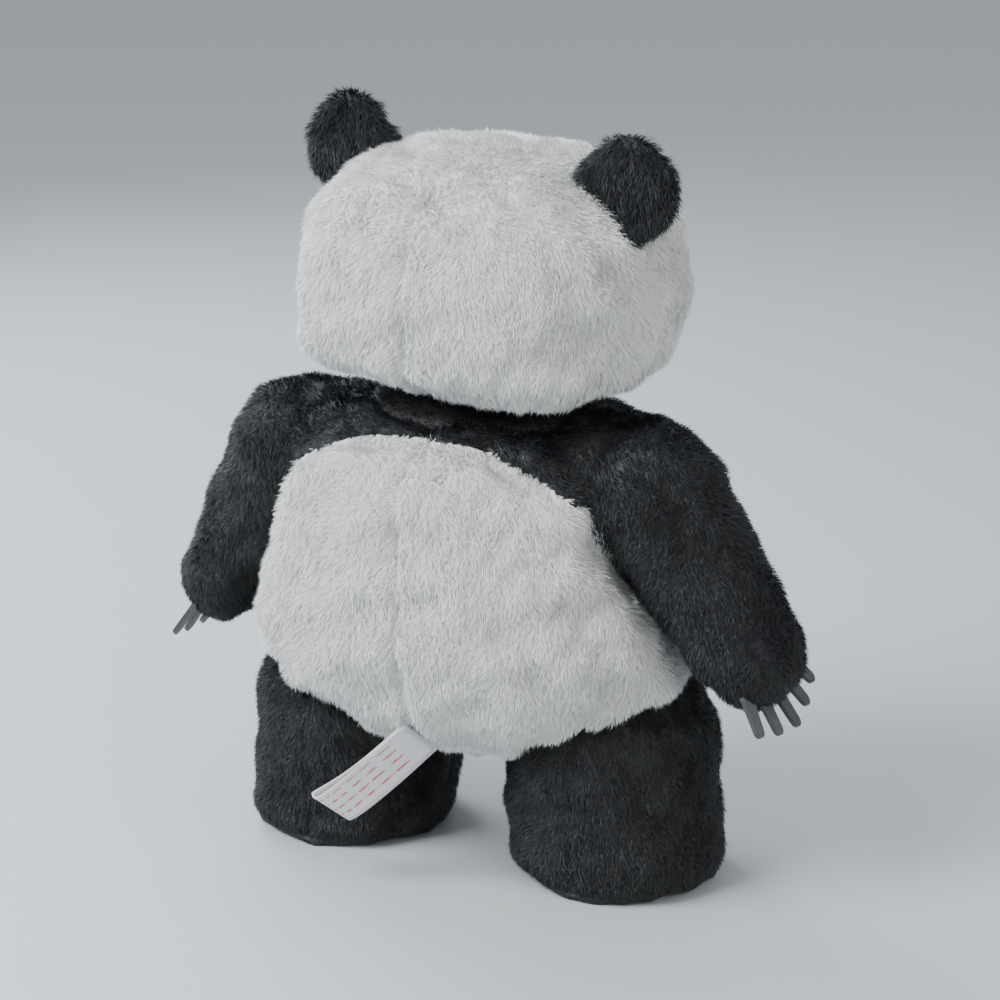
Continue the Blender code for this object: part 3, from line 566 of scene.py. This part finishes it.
class Skin:
    """A padded body of the toy, shared out between the panels that are sewn into it."""

    def __init__(self, obj, seams=(), inset=0.0015, lumps=0.0010, swell=None):
        self.points = coordinates(obj)
        self.faces = triangles(obj)
        normals = vertex_normals(obj)
        shape = LUMPS(self.points) * lumps + DIMPLES(self.points) * lumps * 0.35
        if swell is not None:
            shape = shape + swell(self.points)
        pinch = np.zeros(len(self.points))
        for seam in seams:
            distance = seam(self.points)
            pinch += SEAM_DEPTH * np.exp(-((distance / SEAM_WIDTH) ** 2))
        self.points = self.points - normals * (inset - shape + pinch)[:, None]
        set_coordinates(obj, self.points)
        self.normals = vertex_normals(obj)
        self.centres = self.points[self.faces].mean(axis=1)
        self.seams = seams
        self.pits = []
        self.buried_in = None
        bpy.data.objects.remove(obj, do_unlink=True)

    def tree(self):
        return BVHTree.FromPolygons(self.points.tolist(), self.faces.tolist())

    def buried(self, points):
        """True where a place lies deep inside the other body, where no pile can show."""
        deep = np.zeros(len(points), dtype=bool)
        for index, point in enumerate(points):
            where, normal, _, distance = self.buried_in.find_nearest(point)
            deep[index] = distance > BURIED and (Vector(point) - where).dot(normal) < 0
        return deep

    def parted(self, points):
        """Direction away from the nearest seam, for combing the pile off it."""
        away = np.zeros_like(points)
        step = 0.0004
        for seam in self.seams:
            distance = seam(points)
            near = np.exp(-((distance / 0.006) ** 2)) * 0.9
            slope = np.zeros_like(points)
            for axis in range(3):
                shift = np.zeros(3)
                shift[axis] = step
                slope[:, axis] = (np.abs(seam(points + shift)) - np.abs(seam(points - shift))) / (2 * step)
            away += slope * near[:, None]
        return away

    def panel(self, name, chosen, look, length, seed, density=PER_SQUARE_MM, lean=0.94, bald=None):
        faces = self.faces[chosen]
        spot, normal, _ = scattered(self.points, faces, self.normals, density, seed)
        keep = np.ones(len(spot), dtype=bool)
        size = np.full(len(spot), length)
        for centre, radius in self.pits:
            keep &= np.linalg.norm(spot - centre, axis=1) > radius
        if self.buried_in is not None:
            keep &= ~self.buried(spot)
        if bald is not None:
            size = size * bald(spot)
            keep &= size > length * 0.12
        spot, normal, size = spot[keep], normal[keep], size[keep]
        combed = comb_down(spot, normal, self.parted(spot))
        corners, tone = strands(spot, normal, combed, size, BLADE_WIDTH, lean, seed + 1)
        return furry(name, self.points, faces, corners, tone, look)


# ---- camera, floor and light ----
def camera_and_light():
    azimuth, elevation, distance = math.radians(208.0), math.radians(15.5), 1.0
    aim = Vector((-0.0043, -0.0023, 0.1350))
    toward = Vector(
        (
            math.sin(azimuth) * math.cos(elevation),
            -math.cos(azimuth) * math.cos(elevation),
            math.sin(elevation),
        )
    )
    data = bpy.data.cameras.new("camera")
    data.lens = 96.0
    data.sensor_width = 36.0
    camera = bpy.data.objects.new("camera", data)
    camera.location = aim + toward * distance
    camera.rotation_euler = (-toward).to_track_quat("-Z", "Y").to_euler()
    bpy.context.scene.collection.objects.link(camera)
    bpy.context.scene.camera = camera

    right = Vector((math.cos(azimuth), math.sin(azimuth), 0))
    back = Vector((toward.x, toward.y, 0)).normalized()
    up = Vector((0, 0, 1))
    lamps = (
        ("window", -right * 0.90 + up * 1.0 + back * 0.45, 0.9, 34.0, (0.94, 0.97, 1.0)),
        ("bounce", right * 0.9 + up * 0.55 + back * 0.9, 0.9, 5.5, (1.0, 0.98, 0.95)),
        ("rim", -right * 0.55 + up * 0.75 - back * 0.9, 0.7, 15.0, (0.80, 0.90, 1.0)),
    )
    middle = Vector((0, 0, 0.14))
    for name, offset, size, power, colour in lamps:
        light = bpy.data.lights.new(name, "AREA")
        light.shape = "DISK"
        light.size = size
        light.energy = power
        light.color = colour
        lamp = bpy.data.objects.new(name, light)
        lamp.location = middle + offset
        lamp.rotation_euler = (-offset).to_track_quat("-Z", "Y").to_euler()
        bpy.context.scene.collection.objects.link(lamp)
    world = bpy.data.worlds.new("studio")
    world.use_nodes = True
    world.node_tree.nodes["Background"].inputs["Color"].default_value = (0.80, 0.84, 0.90, 1)
    world.node_tree.nodes["Background"].inputs["Strength"].default_value = 0.75
    bpy.context.scene.world = world


def floor():
    clear_selection()
    bpy.ops.mesh.primitive_plane_add(size=24.0, location=(0, 0, 0))
    made = bpy.context.object
    made.name = "floor"
    look = Look("pale_floor", (0.50, 0.525, 0.53), 0.55)
    grain = look.node("TexNoise", Vector=look.object_place(), Scale=900.0, Detail=2.0)
    look.feed("Roughness", 0.5 + 0.12 * look.number(grain.outputs["Fac"]))
    made.data.materials.append(look.material)


# ---- the body and arms, one continuous stuffed skin ----
def arm_frame(side):
    pivot = joint_point("arm_swing_" + ("left" if side > 0 else "right"))
    lean, swing = math.sin(ARM_FORWARD), math.cos(ARM_FORWARD)
    tip = np.array([side * math.sin(ARM_SPLAY), 0, -math.cos(ARM_SPLAY)])
    face = np.array([side * math.cos(ARM_SPLAY), 0, math.sin(ARM_SPLAY)])
    swung = np.array([[1, 0, 0], [0, swing, lean], [0, -lean, swing]])
    return pivot, swung @ tip, swung @ face


def arm_share(points, side):
    """Places in the arm's own directions: along, outward and back, from its pivot."""
    pivot, axis, outward = arm_frame(side)
    local = points - pivot
    return local @ axis, local @ outward, local @ np.cross(outward, axis) * side


def drop_rod(start, end, start_radius, end_radius, steps=7):
    """A row of balls that fattens a limb from start to end."""
    return [
        filler_ball(start + (end - start) * i / steps, start_radius + (end_radius - start_radius) * i / steps)
        for i in range(steps + 1)
    ]


def hem(points):
    """Distance from the edge of the pale oval, where the yoke is sewn on."""
    across = points[:, 0] / OVAL_HALF_WIDTH
    up = (points[:, 2] - OVAL_CENTRE_Z) / OVAL_HALF_HEIGHT
    reach = (np.abs(across) ** OVAL_SQUARE + np.abs(up) ** OVAL_SQUARE) ** (1 / OVAL_SQUARE)
    distance = (reach - 1.0) * 0.097
    return np.where(points[:, 2] > OVAL_OPENS_Z, distance, 1.0)


def trunk():
    parts = [node_copy(name) for name in BODIES["torso"]]
    for word, side in SIDES:
        pivot = joint_point("arm_swing_" + word)
        parts.append(filler_ball(pivot + np.array([-side * 0.006, 0, 0.001]), 0.0265))
        parts.append(filler_ball(pivot + np.array([-side * 0.018, 0, 0.002]), 0.0275))
    form = remeshed(joined("trunk_form", parts), VOXEL, 12)
    form = puffed(form, 0.003)
    middle = lambda p: np.where(p[:, 1] > 0, p[:, 0], 1.0)

    def swell(points):
        low = np.clip((0.135 - points[:, 2]) / 0.05, 0, 1)
        side = np.clip(np.abs(points[:, 0]) / 0.05 - 0.4, 0, 1)
        rear = np.clip((points[:, 1] + 0.010) / 0.03, 0, 1)
        return 0.0020 * low + 0.0058 * low * side * rear

    skin = Skin(form, seams=(middle, hem), swell=swell)
    centre = skin.centres
    for word, side in SIDES:
        hip = joint_point("leg_swing_" + word)
        skin.pits.append((hip, 0.0405))
        skin.pits.append((hip - np.array([0, 0, 0.02]), 0.0405))
        pivot, axis, _ = arm_frame(side)
        skin.pits.append((pivot, 0.0235))
        skin.pits.append((pivot + axis * 0.035, 0.0180))
    back = centre[:, 1] > 0.002
    pale = (hem(centre) < 0) | (centre[:, 2] < OVAL_OPENS_Z)
    for name, chosen, look, length, seed in (
        ("back_left", pale & back & (centre[:, 0] > 0), WHITE, WHITE_PILE, 20),
        ("back_right", pale & back & (centre[:, 0] <= 0), WHITE, WHITE_PILE, 22),
        ("belly_panel", pale & ~back, WHITE, WHITE_PILE, 24),
        ("yoke_back", ~pale & back, BLACK, BLACK_PILE, 26),
        ("yoke_front", ~pale & ~back, BLACK, BLACK_PILE, 28),
    ):
        density = 1.9 if name == "belly_panel" else PER_SQUARE_MM
        piece = skin.panel(name + "_pile", chosen, look, length, seed, density)
        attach(piece, "torso")
        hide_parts(name)
        if name == "belly_panel":
            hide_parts("body_stuffing", "pellet_bag")
    return skin.tree()


def arms(body):
    for word, side in SIDES:
        pivot, axis, outward = arm_frame(side)
        nodes = ["arm_outer_" + word, "arm_inner_" + word, "arm_stuffing_" + word, "shoulder_wad_" + word]
        parts = [node_copy(name) for name in nodes]
        inward = np.array([-side, 0, 0])
        parts += drop_rod(pivot + inward * 0.014, pivot, 0.0265, 0.0272, 3)
        parts += drop_rod(pivot + outward * 0.001, pivot + axis * 0.058, 0.0262, 0.0205, 9)
        form = remeshed(joined("arm_form", parts), VOXEL, 10)
        form = puffed(form, 0.002)
        skin = Skin(form, lumps=0.0007, inset=0.0008)
        skin.buried_in = body
        _, out, _ = arm_share(skin.centres, side)
        for half, chosen in (("outer", out > 0), ("inner", out <= 0)):
            name = "arm_%s_%s" % (half, word)
            piece = skin.panel(name + "_pile", chosen, BLACK, BLACK_PILE, 40 + side + (half == "outer") * 4)
            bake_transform(piece)
            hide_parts(name)
            if half == "inner":
                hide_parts("arm_stuffing_" + word, "shoulder_wad_" + word)


# ---- legs ----
def legs(body):
    for word, side in SIDES:
        nodes = [n for n in BODIES["leg_" + word]]
        leg = remeshed(joined("leg_form", [node_copy(name) for name in nodes]), VOXEL, 5)
        leg = puffed(leg, 0.0015)
        hip = joint_point("leg_swing_" + word)
        sole_seam = lambda p: p[:, 2] - 0.0035
        skin = Skin(leg, seams=(sole_seam,), lumps=0.0007, inset=0.0002)
        skin.buried_in = body
        low = skin.points[:, 2].min()
        centre = skin.centres
        flat = centre[:, 2] < low + 0.0022
        outer = (centre[:, 0] - hip[0]) * side > 0.002
        for half, chosen in (("outer", ~flat & outer), ("inner", ~flat & ~outer)):
            name = "leg_%s_%s" % (half, word)
            trim = lambda spot: np.clip((spot[:, 2] - 0.0008) / 0.0052, 0.3, 1.0)
            seed = 60 + side + (half == "outer") * 4
            piece = skin.panel(name + "_pile", chosen, BLACK, BLACK_PILE, seed, bald=trim)
            keep_above_floor(piece)
            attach(piece, "leg_" + word)
            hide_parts(name)
            if half == "inner":
                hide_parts("leg_stuffing_" + word)
        piece = skin.panel("sole_%s_pile" % word, flat, BLACK, 0.0016, 70 + side, 1.6, 1.3)
        keep_above_floor(piece)
        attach(piece, "leg_" + word)
        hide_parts("sole_" + word, "insole_" + word)


def keep_above_floor(piece):
    points = coordinates(piece)
    points[:, 2] = np.maximum(points[:, 2], 0.0002)
    set_coordinates(piece, points)


# ---- head ----
def head_axes():
    turn, roll = math.radians(-4.5), math.radians(-3.5)
    rolled = np.array(
        [[math.cos(roll), 0, math.sin(roll)], [0, 1, 0], [-math.sin(roll), 0, math.cos(roll)]]
    )
    turned = np.array([[math.cos(turn), -math.sin(turn), 0], [math.sin(turn), math.cos(turn), 0], [0, 0, 1]])
    return turned @ rolled


HEAD_AXES = head_axes()


def in_head(points):
    """World places in the head's own upright, forward-facing directions, from the neck."""
    return (points - NECK) @ HEAD_AXES


def head():
    solid = [n for n in BODIES["head"] if n.startswith(("head_", "face_", "forehead", "chin"))]
    parts = [node_copy(name) for name in solid]
    for x, y in ((0.040, 0.028), (-0.040, 0.028), (0.042, -0.012), (-0.042, -0.012)):
        place = NECK + HEAD_AXES @ np.array([x, y, 0.0170])
        parts.append(filler_ball(place, 0.0200, (1.15, 1.1, 0.82)))
    form = remeshed(joined("head_form", parts), VOXEL, 14)
    form = puffed(form, 0.003)
    strip = 0.021
    rear_y = 0.010
    back_seam = lambda p: np.where(in_head(p)[:, 1] > rear_y, in_head(p)[:, 0], 1.0)
    gusset_seam = lambda p: np.where(in_head(p)[:, 1] < rear_y, np.abs(in_head(p)[:, 0]) - strip, 1.0)

    def swell(points):
        """The face comes forward to meet the eyes and the muzzle."""
        return 0.0034 * np.clip((-in_head(points)[:, 1] - 0.015) / 0.03, 0, 1)

    skin = Skin(form, seams=(back_seam, gusset_seam), lumps=0.0006, inset=0.0016, swell=swell)
    own = in_head(skin.centres)
    eyes = {}
    patches = {}
    for word, side in SIDES:
        low, high = (np.array(corner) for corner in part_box("eye_" + word))
        eye = in_head(((low + high) / 2)[None])[0]
        eyes[side] = eye
        slant = math.radians(28.0) * side
        across = own[:, 0] - eye[0] - side * 0.002
        up = own[:, 2] - eye[2] + 0.004
        u = across * math.cos(slant) - up * math.sin(slant)
        v = across * math.sin(slant) + up * math.cos(slant)
        patches[side] = ((u / 0.0128) ** 2 + (v / 0.0178) ** 2 < 1) & (own[:, 1] < -0.02)
    marked = patches[1] | patches[-1]
    rear = own[:, 1] > rear_y
    inner = np.abs(own[:, 0]) < strip
    low_face = own[:, 2] < 0.0435 - 0.026

    def face_trim(spot):
        place = in_head(spot)
        share = np.ones(len(spot))
        for eye in eyes.values():
            gap = np.hypot(place[:, 0] - eye[0], place[:, 2] - eye[2])
            near = place[:, 1] < -0.02
            share = np.where(near, share * np.clip((gap - 0.0052) / 0.004, 0.0, 1.0), share)
        front = np.clip((place[:, 1] + 0.045) / 0.04, 0.0, 1.0)
        return share * (0.55 + 0.45 * front)

    for name, chosen, seed in (
        ("head_back_left", rear & (own[:, 0] > 0), 80),
        ("head_back_right", rear & (own[:, 0] <= 0), 82),
        ("face_left", ~rear & ~inner & (own[:, 0] > 0) & ~marked, 84),
        ("face_right", ~rear & ~inner & (own[:, 0] <= 0) & ~marked, 86),
        ("forehead_gusset", ~rear & inner & ~low_face & ~marked, 88),
        ("chin_panel", ~rear & inner & low_face & ~marked, 90),
    ):
        piece = skin.panel(name + "_pile", chosen, WHITE, WHITE_PILE, seed, bald=face_trim)
        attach(piece, "head")
        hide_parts(name)
        if name == "chin_panel":
            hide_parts("head_stuffing")
    for word, side in SIDES:
        name = "eye_patch_%s_pile" % word
        piece = skin.panel(name, patches[side], BLACK, FACE_PILE, 94 + side, bald=face_trim)
        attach(piece, "head")
        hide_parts("eye_patch_" + word, "eye_washer_" + word)
    muzzle()


def muzzle():
    form = remeshed(joined("muzzle_form", [node_copy("muzzle")]), 0.0012, 4)
    skin = Skin(form, inset=-0.0014, lumps=0.0002)
    low, high = (np.array(corner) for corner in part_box("nose"))
    nose = (low + high) / 2
    stitch_low, stitch_high = (np.array(corner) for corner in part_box("mouth_stitching"))
    stitch = (stitch_low + stitch_high) / 2

    def trim(spot):
        from_nose = np.linalg.norm((spot - nose) / np.array([0.0110, 0.008, 0.0080]), axis=1)
        lift = np.abs(spot[:, 2] - stitch[2])
        near = (lift < 0.0040) & (np.abs(spot[:, 0] - stitch[0]) < 0.0135) & (spot[:, 1] < stitch[1] + 0.006)
        return np.where(near, 0.35, 1.0) * np.clip(from_nose - 0.75, 0.0, 1.0)

    everything = np.ones(len(skin.faces), dtype=bool)
    piece = skin.panel("muzzle_pile", everything, WHITE, 0.0024, 98, 3.2, 1.1, trim)
    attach(piece, "head")
    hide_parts("muzzle")


# ---- neck: a furred collar that closes the join when the head turns ----
def neck():
    low, high = (np.array(corner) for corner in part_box("neck_wad"))
    middle = (low + high) / 2
    middle[2] = NECK[2] - 0.011
    form = filler_ball(middle, 0.0470, (1.0, 0.86, 0.26))
    skin = Skin(remeshed(form, VOXEL, 2), inset=0.0, lumps=0.0004)
    everything = np.ones(len(skin.faces), dtype=bool)
    piece = skin.panel("neck_collar", everything, BLACK, BLACK_PILE, 100, 1.3)
    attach(piece, "neck")
    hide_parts("neck_wad")


# ---- ears ----
def ears():
    for word, side in SIDES:
        pivot = joint_point("ear_fold_" + word)
        chord = np.array(JOINTS["ear_fold_" + word]["axis"])
        parts = [node_copy(name) for name in BODIES["ear_" + word]]
        rise = np.cross(chord, HEAD_AXES @ np.array([0, -1, 0]))
        rise = rise * math.copysign(1.0, rise[2])
        for step in (-0.011, 0.0, 0.011):
            parts.append(filler_ball(pivot + chord * step - rise * 0.0035, 0.0064))
        form = remeshed(joined("ear_form", parts), 0.0015, 5)
        own_y = lambda p, pivot=pivot: (p - pivot) @ HEAD_AXES[:, 1]
        skin = Skin(form, inset=0.0002, lumps=0.0004)
        back = own_y(skin.centres) > 0
        for half, chosen in (("back", back), ("front", ~back)):
            name = "ear_%s_%s" % (half, word)
            seed = 110 + side + (half == "back") * 4
            piece = skin.panel(name + "_pile", chosen, BLACK, EAR_PILE, seed, EAR_PER_SQUARE_MM, 0.95)
            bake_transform(piece)
            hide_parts(name)


# ---- label ----
def label():
    """Folded satin loop: a strip with its two ends in the seam, and a soft open fold."""
    joint = JOINTS["label_flap"]
    root = np.array(joint["pos_m"])
    across = np.array(joint["axis"])
    along = np.array([0.034, 0.011, -0.030])
    along /= np.linalg.norm(along)
    across = across - along * (across @ along)
    across /= np.linalg.norm(across)
    out = np.cross(across, along)
    length, width, open_fold = 0.0460, 0.0196, 0.0066
    rows, columns = 48, 10
    places = []
    for row in range(rows + 1):
        share = row / rows
        travel = min(share, 1 - share) * 2
        sign = 1 if share < 0.5 else -1
        reach = length * math.sin(travel * math.pi / 2 * 0.97) ** 0.9 if travel > 0 else 0.0
        gap = 0.0005 + open_fold / 2 * travel ** 2 * math.sqrt(max(0.0, 1 - (reach / (length * 1.001)) ** 8))
        curl = 0.0020 * math.sin(travel * 2.6)
        places.append((reach, sign * gap + curl))
    mesh = bpy.data.meshes.new("label_ribbon")
    data = bmesh.new()
    layer = data.loops.layers.uv.new("OFBake")
    grid = []
    for row, (reach, lift) in enumerate(places):
        line = []
        for column in range(columns + 1):
            side = column / columns - 0.5
            cup = 0.0012 * (side * 2) ** 2 * math.sin(reach / length * math.pi)
            spot = root + along * reach + out * (lift + cup) + across * side * width
            line.append(data.verts.new(spot))
        grid.append(line)
    for row in range(rows):
        for column in range(columns):
            corners = ((row, column), (row + 1, column), (row + 1, column + 1), (row, column + 1))
            face = data.faces.new([grid[r][c] for r, c in corners])
            for loop, (r, c) in zip(face.loops, corners):
                loop[layer].uv = (0.02 + 0.96 * c / columns, 0.02 + 0.96 * r / rows)
    bmesh.ops.recalc_face_normals(data, faces=data.faces[:])
    data.to_mesh(mesh)
    data.free()
    made = bpy.data.objects.new("label_ribbon", mesh)
    bpy.context.scene.collection.objects.link(made)
    activate(made)
    thick = made.modifiers.new("ribbon", "SOLIDIFY")
    thick.thickness = 0.0002
    thick.offset = 0.0
    bpy.ops.object.modifier_apply(modifier=thick.name)
    mesh.shade_smooth()
    mesh.materials.append(SATIN.material)
    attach(made, "label")
    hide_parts("label_loop")


# ---- plain nodes that keep their CAD shape ----
def dress_nodes():
    looks = {
        "polyester_stuffing": STUFFING,
        "pellet_bag_cloth": BAG_CLOTH,
        "claw_felt": CLAW_FELT,
        "eye_gloss": EYE_GLOSS,
        "washer_plastic": WASHER,
        "nose_thread": NOSE,
        "insole_board": BOARD,
        "white_pile": WHITE,
        "black_pile": BLACK,
        "label_ribbon": SATIN,
    }
    for part in frame["record"]["subparts"]:
        obj = bpy.data.objects.get(part["node"])
        look = looks[part["material_slot"]].material
        for index in range(max(1, len(obj.material_slots))):
            if index < len(obj.material_slots):
                obj.material_slots[index].material = look
            else:
                obj.data.materials.append(look)


camera_and_light()
floor()
dress_nodes()
body_skin = trunk()
arms(body_skin)
legs(body_skin)
head()
neck()
ears()
label()
